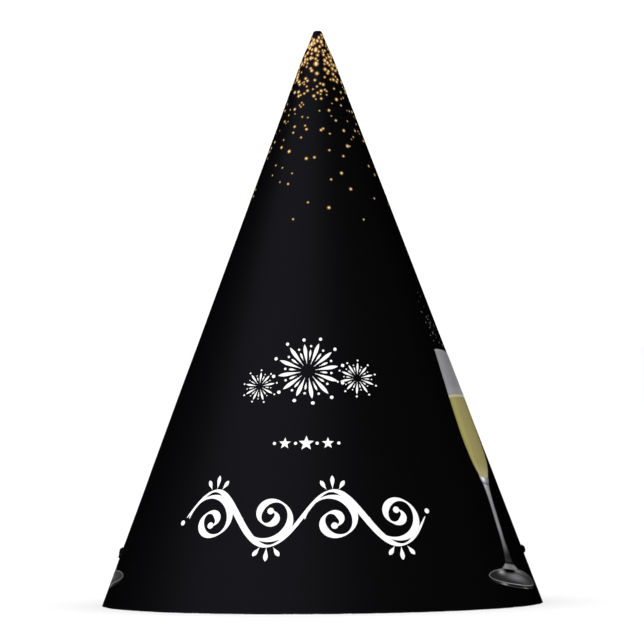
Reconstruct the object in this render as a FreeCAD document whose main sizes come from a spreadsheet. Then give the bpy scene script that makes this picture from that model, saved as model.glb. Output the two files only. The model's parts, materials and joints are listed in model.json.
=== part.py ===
import FreeCAD, Part
import math
import os

import Sketcher
from FreeCAD import Placement, Rotation, Vector

# A paper party hat: one printed card rolled into a cone, an adhesive strip in its overlap, and a thin
# elastic chin cord held by a knot outside each of two punched holes.
# Millimetres. The origin is the centre of the rim, on the surface that the hat stands on. +Z goes up to
# the tip, the front of the hat faces -Y, and the seam runs up the back, along +Y.

BASE_RADIUS = 75.0
APEX_HEIGHT = 199.6

# alias, value, meaning
SIZES = [
    ("base_radius", BASE_RADIUS, "outside radius of the rim"),
    ("hat_height", 195.0, "rim to the top of the tip"),
    ("apex_height", APEX_HEIGHT, "where the straight sides would meet"),
    ("shoulder_height", 187.5, "where the side begins to close in on the tip"),
    ("tip_radius", 1.25, "outside radius at the very top"),
    ("card_thickness", 0.4, "thickness of the card"),
    ("half_angle", math.degrees(math.atan(BASE_RADIUS / APEX_HEIGHT)), "side to axis, degrees"),
    ("seam_angle", 90.0, "where the outer end of the card lies, degrees from +X"),
    ("flap_angle", 9.5, "how far the inner end runs under the outer end, degrees"),
    ("jog_angle", 2.5, "how soon the card steps in to pass under its outer end, degrees"),
    ("tape_thickness", 0.15, "thickness of the adhesive strip"),
    ("tape_margin", 0.6, "strip's distance from the ends of the overlap, degrees"),
    ("tape_foot", 3.0, "height where the strip begins"),
    ("tape_head", 182.0, "height where the strip ends"),
    ("hole_height", 18.5, "height of the cord holes"),
    ("hole_radius", 1.0, "radius of the cord holes"),
    ("cord_radius", 0.4, "radius of the elastic cord"),
    ("knot_length", 4.6, "length of a knot up the side"),
    ("knot_width", 2.7, "width of a knot around the side"),
    ("knot_rise", 1.35, "how far a knot stands off its flat side"),
]

# The elastic's route, from the knot on the right through its hole, down to the floor inside the hat,
# loosely round the back and up again to the knot on the left.
ELASTIC_ROUTE = [
    (68.1, 0.0, 18.5),
    (64.3, 0.0, 17.1),
    (61.6, 0.4, 14.0),
    (60.3, 1.3, 9.4),
    (59.6, 3.2, 4.6),
    (58.8, 7.7, 1.2),
    (57.0, 14.0, 0.42),
    (52.5, 25.5, 0.42),
    (43.0, 38.0, 0.42),
    (28.0, 47.5, 0.42),
    (9.0, 51.0, 0.42),
    (-11.0, 48.5, 0.42),
    (-29.0, 40.0, 0.42),
    (-40.0, 25.0, 0.42),
    (-39.0, 7.0, 0.42),
    (-29.0, -9.0, 0.42),
    (-24.0, -26.0, 0.42),
    (-32.0, -41.0, 0.42),
    (-46.0, -43.0, 0.42),
    (-55.0, -33.0, 0.42),
    (-58.5, -20.0, 0.42),
    (-59.3, -10.5, 0.42),
    (-59.4, -5.0, 1.6),
    (-60.0, -1.9, 5.4),
    (-60.8, -0.6, 10.0),
    (-62.0, 0.0, 14.0),
    (-64.3, 0.0, 17.1),
    (-68.1, 0.0, 18.5),
]
ARC_SHARE = 0.45            # part of the shorter run that a bend takes up
VOLUME_TOLERANCE = 0.01     # largest share by which a built volume may miss the worked-out one


def make_sheet(doc):
    """The driving dimensions, one row each: meaning, value, alias."""
    sheet = doc.addObject("Spreadsheet::Sheet", "Sizes")
    for row, (alias, value, meaning) in enumerate(SIZES, start=1):
        sheet.set(f"A{row}", meaning)
        sheet.set(f"B{row}", str(value))
        sheet.setAlias(f"B{row}", alias)
    doc.recompute()
    return sheet


def new_body(doc, label):
    body = doc.addObject("PartDesign::Body", label)
    body.Label = label
    return body


def origin_plane(body, role):
    for feature in body.Origin.OriginFeatures:
        if feature.Role == role:
            return feature
    raise RuntimeError(f"{body.Label} has no {role}")


def new_sketch(body, name, role):
    sketch = body.newObject("Sketcher::SketchObject", name)
    sketch.AttachmentSupport = [(origin_plane(body, role), "")]
    sketch.MapMode = "FlatFace"
    return sketch


def bind(sketch, name, expression, *constraint):
    """Adds a named dimension to a sketch and ties it to the sheet."""
    index = sketch.addConstraint(Sketcher.Constraint(*constraint))
    sketch.renameConstraint(index, name)
    sketch.setExpression(f"Constraints.{name}", expression)


def polar(radius, degrees):
    angle = math.radians(degrees)
    return Vector(radius * math.cos(angle), radius * math.sin(angle), 0)


def rolled_sheet_sketch(body, sheet, name, radius, radius_expression, height_alias):
    """One level of the rolled card: a ring that starts at the seam, goes once round, steps in by the
    card and the adhesive strip, and runs on under its own start as the glue flap."""
    sketch = new_sketch(body, name, "XY_Plane")
    if height_alias:
        sketch.setExpression("AttachmentOffset.Base.z", f"Sizes.{height_alias}")
    wall = sheet.card_thickness / math.cos(math.radians(sheet.half_angle))
    step = wall + sheet.tape_thickness
    seam = sheet.seam_angle
    jog = seam - sheet.jog_angle
    flap = seam + sheet.flap_angle
    radii = [radius, radius - step, radius - step - wall, radius - wall]
    spans = [(seam, jog), (seam, flap), (seam, flap), (seam, jog)]
    arcs = []
    for arc_radius, (start, end) in zip(radii, spans):
        turn = (end - start) % 360.0
        circle = Part.Circle(Vector(), Vector(0, 0, 1), arc_radius)
        arc = Part.ArcOfCircle(circle, math.radians(start), math.radians(start + turn))
        arcs.append(sketch.addGeometry(arc))
    lines = [
        (polar(radii[0], jog), polar(radii[1], seam)),
        (polar(radii[1], flap), polar(radii[2], flap)),
        (polar(radii[2], seam), polar(radii[3], jog)),
        (polar(radii[3], seam), polar(radii[0], seam)),
    ]
    step_out, flap_end, step_in, sheet_end = [
        sketch.addGeometry(Part.LineSegment(start, end)) for start, end in lines
    ]
    main_out, flap_out, flap_in, main_in = arcs
    for arc in arcs:
        sketch.addConstraint(Sketcher.Constraint("Coincident", arc, 3, -1, 1))
    joins = [
        (main_out, 2, step_out, 1),
        (step_out, 2, flap_out, 1),
        (flap_out, 2, flap_end, 1),
        (flap_end, 2, flap_in, 2),
        (flap_in, 1, step_in, 1),
        (step_in, 2, main_in, 2),
        (main_in, 1, sheet_end, 1),
        (sheet_end, 2, main_out, 1),
    ]
    for join in joins:
        sketch.addConstraint(Sketcher.Constraint("Coincident", *join))
    wall_text = "Sizes.card_thickness / cos(Sizes.half_angle)"
    step_text = f"({wall_text} + Sizes.tape_thickness)"
    depths = ["0", step_text, f"({step_text} + {wall_text})", wall_text]
    names = ["main_out", "flap_out", "flap_in", "main_in"]
    for arc, arc_name, arc_radius, depth in zip(arcs, names, radii, depths):
        bind(sketch, f"{arc_name}_radius", f"{radius_expression} - {depth}", "Radius", arc, arc_radius)
    corners = [
        (main_out, 1, radii[0], seam, "0", "0", "end_out"),
        (main_in, 1, radii[3], seam, wall_text, "0", "end_in"),
        (flap_out, 1, radii[1], seam, step_text, "0", "root_out"),
        (flap_in, 1, radii[2], seam, f"({step_text} + {wall_text})", "0", "root_in"),
        (main_out, 2, radii[0], jog, "0", "Sizes.jog_angle", "jog_out"),
        (main_in, 2, radii[3], jog, wall_text, "Sizes.jog_angle", "jog_in"),
        (flap_out, 2, radii[1], flap, step_text, "-Sizes.flap_angle", "flap_out"),
        (flap_in, 2, radii[2], flap, f"({step_text} + {wall_text})", "-Sizes.flap_angle", "flap_in"),
    ]
    for arc, end, corner_radius, angle, depth, back, corner in corners:
        across = corner_radius * math.cos(math.radians(angle))
        across_text = f"({radius_expression} - {depth}) * cos(Sizes.seam_angle - ({back}))"
        bind(sketch, f"{corner}_across", across_text, "DistanceX", -1, 1, arc, end, across)
    return sketch


def make_cone_card(doc, sheet):
    body = new_body(doc, "cone_card")
    levels = [
        ("RimProfile", sheet.base_radius, "Sizes.base_radius", None),
        (
            "ShoulderProfile",
            sheet.base_radius * (1 - sheet.shoulder_height / sheet.apex_height),
            "Sizes.base_radius * (1 - Sizes.shoulder_height / Sizes.apex_height)",
            "shoulder_height",
        ),
        ("TipProfile", sheet.tip_radius, "Sizes.tip_radius", "hat_height"),
    ]
    sketches = [rolled_sheet_sketch(body, sheet, *level) for level in levels]
    rolled = body.newObject("PartDesign::AdditiveLoft", "RolledCard")
    rolled.Profile = sketches[0]
    rolled.Sections = sketches[1:]
    rolled.Ruled = True
    doc.recompute()
    whole = rolled.Shape.Volume

    holes = new_sketch(body, "CordHoles", "YZ_Plane")
    centre = Vector(0, sheet.hole_height, 0)
    circle = holes.addGeometry(Part.Circle(centre, Vector(0, 0, 1), sheet.hole_radius))
    holes.addConstraint(Sketcher.Constraint("PointOnObject", circle, 3, -2))
    bind(holes, "hole_radius", "Sizes.hole_radius", "Radius", circle, sheet.hole_radius)
    bind(holes, "hole_height", "Sizes.hole_height", "DistanceY", -1, 1, circle, 3, sheet.hole_height)
    punch = body.newObject("PartDesign::Pocket", "PunchedHoles")
    punch.Profile = holes
    punch.Type = "ThroughAll"
    punch.Midplane = True
    doc.recompute()
    wall = sheet.card_thickness / math.cos(math.radians(sheet.half_angle))
    expect_volume("cord holes", whole - punch.Shape.Volume, 2 * math.pi * sheet.hole_radius**2 * wall)
    return body


def make_seam_tape(doc, sheet):
    """The adhesive strip fills the gap between the flap and the outer end of the card."""
    body = new_body(doc, "seam_tape")
    sketch = new_sketch(body, "StripProfile", "XZ_Plane")
    wall = sheet.card_thickness / math.cos(math.radians(sheet.half_angle))
    wall_text = "Sizes.card_thickness / cos(Sizes.half_angle)"
    places = [("tape_foot", False), ("tape_foot", True), ("tape_head", True), ("tape_head", False)]
    corners = []
    for height_alias, inside in places:
        height = getattr(sheet, height_alias)
        across = sheet.base_radius * (1 - height / sheet.apex_height) - wall
        across_text = f"Sizes.base_radius * (1 - Sizes.{height_alias} / Sizes.apex_height) - {wall_text}"
        if inside:
            across -= sheet.tape_thickness
            across_text += " - Sizes.tape_thickness"
        corners.append((across, across_text, height, height_alias))
    count = len(corners)
    for index, corner in enumerate(corners):
        after = corners[(index + 1) % count]
        start = Vector(corner[0], corner[2], 0)
        end = Vector(after[0], after[2], 0)
        sketch.addGeometry(Part.LineSegment(start, end))
    for index, (across, across_text, height, height_alias) in enumerate(corners):
        sketch.addConstraint(Sketcher.Constraint("Coincident", index, 2, (index + 1) % count, 1))
        bind(sketch, f"across_{index}", across_text, "DistanceX", -1, 1, index, 1, across)
        bind(sketch, f"height_{index}", f"Sizes.{height_alias}", "DistanceY", -1, 1, index, 1, height)
    strip = body.newObject("PartDesign::Revolution", "Strip")
    strip.Profile = sketch
    strip.ReferenceAxis = (sketch, ["V_Axis"])
    strip.setExpression("Angle", "Sizes.flap_angle - 2 * Sizes.tape_margin")
    body.Placement = Placement(Vector(), Rotation(Vector(0, 0, 1), 0))
    body.setExpression("Placement.Rotation.Angle", "Sizes.seam_angle + Sizes.tape_margin")
    doc.recompute()
    return body


def bend_radius(before, corner, after):
    """Largest round bend that the two runs at a corner leave room for, and the turn it makes."""
    run_in = corner - before
    run_out = after - corner
    turn = run_in.getAngle(run_out)
    return ARC_SHARE * min(run_in.Length, run_out.Length) / math.tan(turn / 2), turn


def route_edges(points):
    """Straight runs joined by tangent arcs."""
    edges = []
    start = points[0]
    for before, corner, after in zip(points, points[1:], points[2:]):
        radius, turn = bend_radius(before, corner, after)
        reach = radius * math.tan(turn / 2)
        to_before = (before - corner).normalize()
        to_after = (after - corner).normalize()
        entry = corner + to_before * reach
        leave = corner + to_after * reach
        middle = corner + (to_before + to_after).normalize() * (radius / math.cos(turn / 2) - radius)
        edges.append(Part.LineSegment(start, entry).toShape())
        edges.append(Part.Arc(entry, middle, leave).toShape())
        start = leave
    edges.append(Part.LineSegment(start, points[-1]).toShape())
    return edges


def make_chin_elastic(doc, sheet):
    points = [Vector(*point) for point in ELASTIC_ROUTE]
    route = doc.addObject("Part::Feature", "ElasticRoute")
    route.Shape = Part.Wire(route_edges(points))

    section = doc.addObject("Part::Circle", "ElasticSection")
    section.setExpression("Radius", "Sizes.cord_radius")
    section.Placement = Placement(points[0], Rotation(Vector(0, 0, 1), points[1] - points[0]))

    elastic = doc.addObject("Part::Sweep", "chin_elastic")
    elastic.Label = "chin_elastic"
    elastic.Sections = [section]
    elastic.Spine = (route, [f"Edge{number}" for number in range(1, len(route.Shape.Edges) + 1)])
    elastic.Solid = True
    elastic.Frenet = False
    doc.recompute()

    length = route.Shape.Length
    radii = [bend_radius(*corner)[0] for corner in zip(points, points[1:], points[2:])]
    print("chin_elastic bend radii, mm:", [round(radius, 1) for radius in radii])
    print("chin_elastic length, mm:", round(length, 1))
    expect_volume("chin_elastic", elastic.Shape.Volume, math.pi * sheet.cord_radius**2 * length)
    return elastic


def make_knot(doc, label, seat, inward):
    """A knot as a low dome: its flat side faces the card, with the end of the cord at its middle."""
    knot = doc.addObject("Part::Ellipsoid", label)
    knot.Label = label
    knot.setExpression("Radius1", "Sizes.knot_rise")
    knot.setExpression("Radius2", "Sizes.knot_length / 2")
    knot.setExpression("Radius3", "Sizes.knot_width / 2")
    knot.Angle1 = 0
    outward = seat - inward
    up_the_side = Vector(0, 0, 1)
    around = outward.cross(up_the_side)
    knot.Placement = Placement(seat, Rotation(around.cross(outward), around, outward, "ZXY"))
    return knot


def expect_volume(name, built, expected):
    if abs(built - expected) > VOLUME_TOLERANCE * expected:
        raise RuntimeError(f"{name} has {built:.3f} cubic mm, expected {expected:.3f}")


def check(doc, subparts):
    for item in doc.Objects:
        if "Invalid" in item.State or "Error" in item.State:
            raise RuntimeError(f"{item.Label} did not recompute: {item.State}")
    for item in subparts:
        if item.Shape.isNull() or not item.Shape.isValid() or not item.Shape.Solids:
            raise RuntimeError(f"{item.Label} is not a valid solid")


def main():
    os.makedirs("parts", exist_ok=True)
    doc = FreeCAD.newDocument("PartyHat")
    sheet = make_sheet(doc)
    right_end = [Vector(*point) for point in ELASTIC_ROUTE[:2]]
    left_end = [Vector(*point) for point in ELASTIC_ROUTE[:-3:-1]]
    subparts = [
        make_cone_card(doc, sheet),
        make_seam_tape(doc, sheet),
        make_chin_elastic(doc, sheet),
        make_knot(doc, "elastic_knot_right", *right_end),
        make_knot(doc, "elastic_knot_left", *left_end),
    ]
    doc.recompute()
    check(doc, subparts)
    for item in subparts:
        item.Shape.exportStep(f"parts/{item.Label}.step")
        box = item.Shape.BoundBox
        print(item.Label, "volume", round(item.Shape.Volume, 2), box)


main()
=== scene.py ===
"""Finishes for a new year party hat: printed card, ink, elastic and a pale studio.

Metres throughout, +Z up. The hat stands on its rim at the origin and its front faces -Y.
Azimuth is counted from the front, positive towards +X. The flat pattern of the card has the cone's
point at its origin, and a slant is a distance from that point down the side."""

import json
import math
import random

import bmesh
import bpy
from bpy.props import (
    FloatProperty,
    FloatVectorProperty,
    IntProperty,
    PointerProperty,
)
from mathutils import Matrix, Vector, noise

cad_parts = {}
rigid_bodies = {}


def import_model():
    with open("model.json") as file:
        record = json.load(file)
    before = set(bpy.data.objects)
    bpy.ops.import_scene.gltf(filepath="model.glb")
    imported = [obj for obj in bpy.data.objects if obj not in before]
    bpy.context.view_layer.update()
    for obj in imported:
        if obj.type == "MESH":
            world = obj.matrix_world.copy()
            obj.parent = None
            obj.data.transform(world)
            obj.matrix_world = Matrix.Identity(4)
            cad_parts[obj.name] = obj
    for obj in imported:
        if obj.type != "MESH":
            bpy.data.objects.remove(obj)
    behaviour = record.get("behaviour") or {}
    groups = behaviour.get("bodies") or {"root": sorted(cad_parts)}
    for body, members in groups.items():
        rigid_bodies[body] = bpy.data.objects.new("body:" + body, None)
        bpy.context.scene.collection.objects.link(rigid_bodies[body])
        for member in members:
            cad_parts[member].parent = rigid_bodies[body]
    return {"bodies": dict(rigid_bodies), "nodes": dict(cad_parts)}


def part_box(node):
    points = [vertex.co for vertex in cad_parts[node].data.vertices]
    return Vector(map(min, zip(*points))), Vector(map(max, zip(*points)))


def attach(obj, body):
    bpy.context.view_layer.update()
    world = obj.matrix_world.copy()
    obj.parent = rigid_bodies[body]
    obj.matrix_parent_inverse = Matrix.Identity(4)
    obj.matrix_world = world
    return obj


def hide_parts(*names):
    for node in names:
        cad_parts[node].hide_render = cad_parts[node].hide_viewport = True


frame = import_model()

bl_info = {
    "name": "Party Hat Finishes",
    "version": (1, 0, 0),
    "blender": (4, 5, 0),
    "location": "View3D > Sidebar > Party Hat",
    "description": "Builds the printed card, its ink, the elastic and the studio of a party hat",
    "category": "Object",
}

MM = 0.001
BODY = next(iter(frame["bodies"]))

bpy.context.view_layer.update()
CARD_LOW, CARD_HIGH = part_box("cone_card")
RIM_RADIUS = CARD_HIGH.x
HAT_HEIGHT = CARD_HIGH.z


# ---------------------------------------------------------------- sizes and colours

def length(name, description, default):
    return FloatProperty(name=name, description=description, default=default, unit="LENGTH")


def angle(name, description, degrees):
    return FloatProperty(name=name, description=description, default=math.radians(degrees), subtype="ANGLE")


def amount(name, description, default):
    return FloatProperty(name=name, description=description, default=default)


def colour(name, description, default):
    return FloatVectorProperty(
        name=name, description=description, default=default, subtype="COLOR", min=0, max=1)


class PartyHatCard(bpy.types.PropertyGroup):
    """The rolled card."""

    apex_height: length("Apex height", "Height where the straight sides would meet", HAT_HEIGHT + 4.6 * MM)
    shoulder_drop: length("Shoulder drop", "How far below the top the side begins to close in", 10 * MM)
    pinch: length("Pinch", "How far the side closes in below the tip", 0.42 * MM)
    cap_drop: length("Cap drop", "Height of the rounded top", 0.7 * MM)
    thickness: length("Card thickness", "Thickness of the card", 0.4 * MM)
    strip_thickness: length("Strip thickness", "Thickness of the adhesive strip in the overlap", 0.15 * MM)
    flap_turn: angle("Flap", "How far the inner end runs under the outer end", 9.5)
    step_turn: angle("Step", "How soon the card steps in to pass under its outer end", 2.5)
    ripple: length("Ripple", "How far the card's hand-rolled side strays from a true cone", 0.10 * MM)
    hole_radius: length("Hole radius", "Radius of the punched cord holes", 1.0 * MM)
    hole_height: length("Hole height", "Height of the punched cord holes", 18.5 * MM)


class PartyHatInk(bpy.types.PropertyGroup):
    """The inks and papers."""

    black: colour("Black ink", "Solid black background", (0.0018, 0.0017, 0.0024))
    white: colour("White", "Unprinted card showing through the black", (0.88, 0.88, 0.88))
    paper: colour("Paper", "Uncoated inside and cut edges", (0.74, 0.73, 0.70))
    gold_core: colour("Confetti centre", "Middle of a confetti dot", (1.0, 0.88, 0.50))
    gold_ring: colour("Confetti ring", "Outer part of a confetti dot", (0.64, 0.38, 0.05))
    gold_glow: colour("Confetti glow", "Glow printed round a confetti dot", (0.15, 0.040, 0.004))
    wine: colour("Wine", "Sparkling wine in the printed glasses", (0.30, 0.262, 0.083))
    crystal: colour("Glass grey", "Lightest grey of the printed glasses", (0.26, 0.26, 0.268))
    elastic: colour("Elastic", "Covering of the elastic cord", (0.0022, 0.0022, 0.0026))
    film_lift: length("Ink height", "How far the lowest ink film stands off the card", 0.03 * MM)
    film_gap: length("Ink step", "Height between one ink film and the next", 0.012 * MM)
    seed: IntProperty(
        name="Confetti seed", description="Picks the scatter of the confetti", default=31)


class PartyHatElastic(bpy.types.PropertyGroup):
    """The chin cord."""

    diameter: length("Cord diameter", "Diameter of the round elastic", 0.8 * MM)
    knot_strand: length("Knot strand", "Diameter of the elastic where the knot pulls it thin", 0.62 * MM)
    length: length("Cord length", "Relaxed length from knot to knot", 298 * MM)


class PartyHatStage(bpy.types.PropertyGroup):
    """Floor, lights and camera."""

    camera_distance: length("Camera distance", "Camera to the hat's axis", 2.083)
    camera_height: length("Camera height", "Height of the level camera", 0.0959)
    camera_side: length("Camera side", "Camera's place to the right of the hat's axis", 0.65 * MM)
    camera_roll: angle("Camera roll", "Roll of the camera", 0.5)
    frame_width: length("Frame width", "Width of the view at the hat's axis", 0.2192)
    key_power: amount("Key light", "Power of the soft light that gives the card its sheen, in watts", 6.3)
    fill_power: amount("Fill light", "Power of the broad light from the left, in watts", 60.0)
    room_light: amount("Room light", "Brightness of the white room all round", 1.12)
    floor_colour: colour("Floor", "Pale floor", (0.94, 0.94, 0.94))


SETTINGS = {
    "party_hat_card": PartyHatCard,
    "party_hat_ink": PartyHatInk,
    "party_hat_elastic": PartyHatElastic,
    "party_hat_stage": PartyHatStage,
}


# ---------------------------------------------------------------- the shape of the card

class ConeSide:
    """Where the printed side of the rolled card lies."""

    def __init__(self, card):
        self.card = card
        self.half_angle = math.atan(RIM_RADIUS / card.apex_height)
        self.sine = math.sin(self.half_angle)
        self.cosine = math.cos(self.half_angle)
        self.wall = card.thickness / self.cosine
        self.step = self.wall + card.strip_thickness
        self.seam = math.pi
        self.shoulder = HAT_HEIGHT - card.shoulder_drop
        self.cap = HAT_HEIGHT - card.cap_drop

    def radius(self, height):
        """Outside radius of a true cone whose side closes in below a rounded tip."""
        straight = RIM_RADIUS * (1 - height / self.card.apex_height)
        fully_in = HAT_HEIGHT - 0.35 * self.card.shoulder_drop
        closed_in = self.card.pinch * ease(height, self.shoulder, fully_in)
        rounding = max(0.0, (height - self.cap) / self.card.cap_drop)
        return (straight - closed_in) * (0.55 + 0.45 * math.sqrt(max(0.0, 1 - rounding ** 2)))

    def ripple(self, azimuth, height):
        """A gentle, seeded stray from the true cone that dies away at the rim, seam and tip."""
        turn = noise.noise(Vector((2.2 * math.sin(azimuth), 2.2 * math.cos(azimuth), 9.0 * height)))
        from_seam = 1 - math.exp(-((self.seam - abs(azimuth)) / 0.25) ** 2)
        from_rim = min(1.0, height / (12 * MM))
        from_tip = min(1.0, (HAT_HEIGHT - height) / (40 * MM))
        return self.card.ripple * turn * from_seam * from_rim * from_tip

    def sunk(self, azimuth):
        """How far the card has stepped in to pass under its outer end."""
        return self.step * ease(azimuth, self.seam - self.card.step_turn, self.seam)

    def point(self, azimuth, height, lift=0.0):
        """A point on the outside, or that far out from it."""
        radius = self.radius(height) + self.ripple(azimuth, height) - self.sunk(azimuth)
        radius += lift * self.cosine
        return Vector((radius * math.sin(azimuth), -radius * math.cos(azimuth), height + lift * self.sine))

    def on_slant(self, azimuth, slant, lift=0.0):
        return self.point(azimuth, self.card.apex_height - slant * self.cosine, lift)


class Artwork:
    """A drawing's own axes on the card: x to the right, y up towards the point, in metres.

    A bent drawing keeps its rows parallel to the rim. Any other is wrapped round like a flat picture."""

    def __init__(self, side, azimuth, slant, tilt=0.0, bent=False, mirror=False):
        self.side = side
        self.pattern_turn = azimuth * side.sine
        self.slant = slant
        self.tilt = tilt
        self.bent = bent
        self.flip = -1.0 if mirror else 1.0

    def place(self, x, y, lift):
        across = self.flip * (x * math.cos(self.tilt) + y * math.sin(self.tilt))
        up = -x * math.sin(self.tilt) + y * math.cos(self.tilt)
        if self.bent:
            turn = across / self.slant
            slant = self.slant - up
        else:
            turn = math.atan2(across, self.slant - up)
            slant = math.hypot(across, self.slant - up)
        return self.side.on_slant((self.pattern_turn + turn) / self.side.sine, slant, lift)


# ---------------------------------------------------------------- mesh helpers

def new_object(name, mesh_maker, *materials):
    """An object from a bmesh that mesh_maker fills in."""
    bm = bmesh.new()
    mesh_maker(bm)
    bmesh.ops.recalc_face_normals(bm, faces=bm.faces)
    mesh = bpy.data.meshes.new(name)
    bm.to_mesh(mesh)
    bm.free()
    piece = bpy.data.objects.new(name, mesh)
    bpy.context.scene.collection.objects.link(piece)
    for material in materials:
        mesh.materials.append(material)
    mesh.shade_smooth()
    return piece


def finish_piece(piece, slot, *replaced):
    """Puts a piece on the hat's body and in the place of the nodes it stands for."""
    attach(piece, BODY)
    if replaced:
        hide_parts(*replaced)


def circle(sides):
    """The angles of a ring's corners."""
    return [math.tau * index / sides for index in range(sides)]


class Film:
    """Collects thin closed patches of ink into one mesh, with a colour at each point."""

    THICKNESS = 0.05 * MM

    def __init__(self, bm):
        self.bm = bm
        self.colours = bm.verts.layers.float_color.new("ink")
        self.across = bm.verts.layers.float.new("across")

    def vertex(self, position, colour, across=0.0):
        corner = self.bm.verts.new(position)
        corner[self.colours] = (*colour, 1.0)
        corner[self.across] = across
        return corner

    def grid(self, rows, place, lift, closed_rows=False):
        """rows is a list of lists of (x, y, colour, across). The grid becomes a thin closed patch."""
        top, base = (
            [[self.vertex(place(x, y, level), tint, across) for x, y, tint, across in row] for row in rows]
            for level in (lift, lift - self.THICKNESS)
        )
        columns = len(rows[0])
        spans = range(columns if closed_rows else columns - 1)
        for index in range(len(rows) - 1):
            for column in spans:
                after = (column + 1) % columns
                self.bm.faces.new((top[index][column], top[index][after],
                                   top[index + 1][after], top[index + 1][column]))
                self.bm.faces.new((base[index + 1][column], base[index + 1][after],
                                   base[index][after], base[index][column]))
        for index in (0, len(rows) - 1):
            for column in spans:
                after = (column + 1) % columns
                self.wall(top[index][column], top[index][after], base[index][after], base[index][column])
        if not closed_rows:
            for index in range(len(rows) - 1):
                for column in (0, columns - 1):
                    self.wall(top[index][column], top[index + 1][column],
                              base[index + 1][column], base[index][column])

    def wall(self, *corners):
        self.bm.faces.new(corners)

    def disc(self, x, y, radius, place, lift, inner, outer, rings=3, sides=12, squash=1.0):
        """A round dot whose colour runs from inner to outer."""
        def ring(share, level, tint):
            reach = radius * share
            return [
                self.vertex(place(x + reach * math.cos(turn), y + reach * squash * math.sin(turn), level),
                            tint, share)
                for turn in circle(sides)
            ]

        centre = self.vertex(place(x, y, lift), inner, 0.0)
        below = self.vertex(place(x, y, lift - self.THICKNESS), outer, 0.0)
        shares = [index / rings for index in range(1, rings + 1)]
        levels = [ring(share, lift, mix(inner, outer, share)) for share in shares]
        under = ring(1.0, lift - self.THICKNESS, outer)
        for i in range(sides):
            j = (i + 1) % sides
            self.bm.faces.new((centre, levels[0][i], levels[0][j]))
            for low, high in zip(levels, levels[1:]):
                self.bm.faces.new((low[i], high[i], high[j], low[j]))
            self.wall(levels[-1][i], under[i], under[j], levels[-1][j])
            self.bm.faces.new((below, under[j], under[i]))


def mix(a, b, share):
    share = min(1.0, max(0.0, share))
    return tuple(p + (q - p) * share for p, q in zip(a, b))


def ease(value, low, high):
    """0 at low, 1 at high, smooth between."""
    t = min(1.0, max(0.0, (value - low) / (high - low)))
    return t * t * (3 - 2 * t)


def bump_at(value, centre, width):
    """1 at centre, falling smoothly to nothing about a width away."""
    return math.exp(-((value - centre) / width) ** 2)


# ---------------------------------------------------------------- shader groups

def new_group(name, inputs, outputs):
    """A shader node group with named float, colour or vector sockets."""
    group = bpy.data.node_groups.new(name, "ShaderNodeTree")
    kinds = {"float": "NodeSocketFloat", "colour": "NodeSocketColor", "vector": "NodeSocketVector"}
    for label, kind, default in inputs:
        socket = group.interface.new_socket(label, in_out="INPUT", socket_type=kinds[kind])
        if default is not None:
            socket.default_value = default
    for label, kind in outputs:
        group.interface.new_socket(label, in_out="OUTPUT", socket_type=kinds[kind])
    return group, group.nodes.new("NodeGroupInput"), group.nodes.new("NodeGroupOutput")


def math_node(tree, operation, first, second=None, clamp=False):
    node = tree.nodes.new("ShaderNodeMath")
    node.operation = operation
    node.use_clamp = clamp
    for socket, value in zip(node.inputs, (first, second)):
        if value is not None:
            give(tree, socket, value)
    return node.outputs[0]


def remap(tree, value, low, high, to_low, to_high):
    node = tree.nodes.new("ShaderNodeMapRange")
    node.inputs["From Min"].default_value = low
    node.inputs["From Max"].default_value = high
    node.inputs["To Min"].default_value = to_low
    node.inputs["To Max"].default_value = to_high
    tree.links.new(value, node.inputs["Value"])
    return node.outputs[0]


def give(tree, socket, value):
    """Sets a socket to a number or a colour, or links another socket to it."""
    if isinstance(value, (int, float)):
        socket.default_value = value
    elif isinstance(value, tuple):
        socket.default_value = (*value, 1.0)
    else:
        tree.links.new(value, socket)


def mix_colour(tree, share, first, second, blend="MIX"):
    node = tree.nodes.new("ShaderNodeMix")
    node.data_type = "RGBA"
    node.blend_type = blend
    share_socket, first_socket, second_socket = node.inputs[0], node.inputs[6], node.inputs[7]
    give(tree, share_socket, share)
    give(tree, first_socket, first)
    give(tree, second_socket, second)
    return node.outputs[2]


def grey_colour(tree, value):
    """A grey whose three channels all take one value."""
    node = tree.nodes.new("ShaderNodeCombineColor")
    for channel in ("Red", "Green", "Blue"):
        tree.links.new(value, node.inputs[channel])
    return node.outputs["Color"]


def swing(tree, value, size):
    """A value from 0 to 1 turned into a swing either side of nothing."""
    return math_node(tree, "MULTIPLY", math_node(tree, "SUBTRACT", value, 0.5), size)


def noise_node(tree, vector, scale, detail, roughness):
    node = tree.nodes.new("ShaderNodeTexNoise")
    node.inputs["Detail"].default_value = detail
    node.inputs["Roughness"].default_value = roughness
    give(tree, node.inputs["Scale"], scale)
    tree.links.new(vector, node.inputs["Vector"])
    return node.outputs["Fac"]


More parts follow.
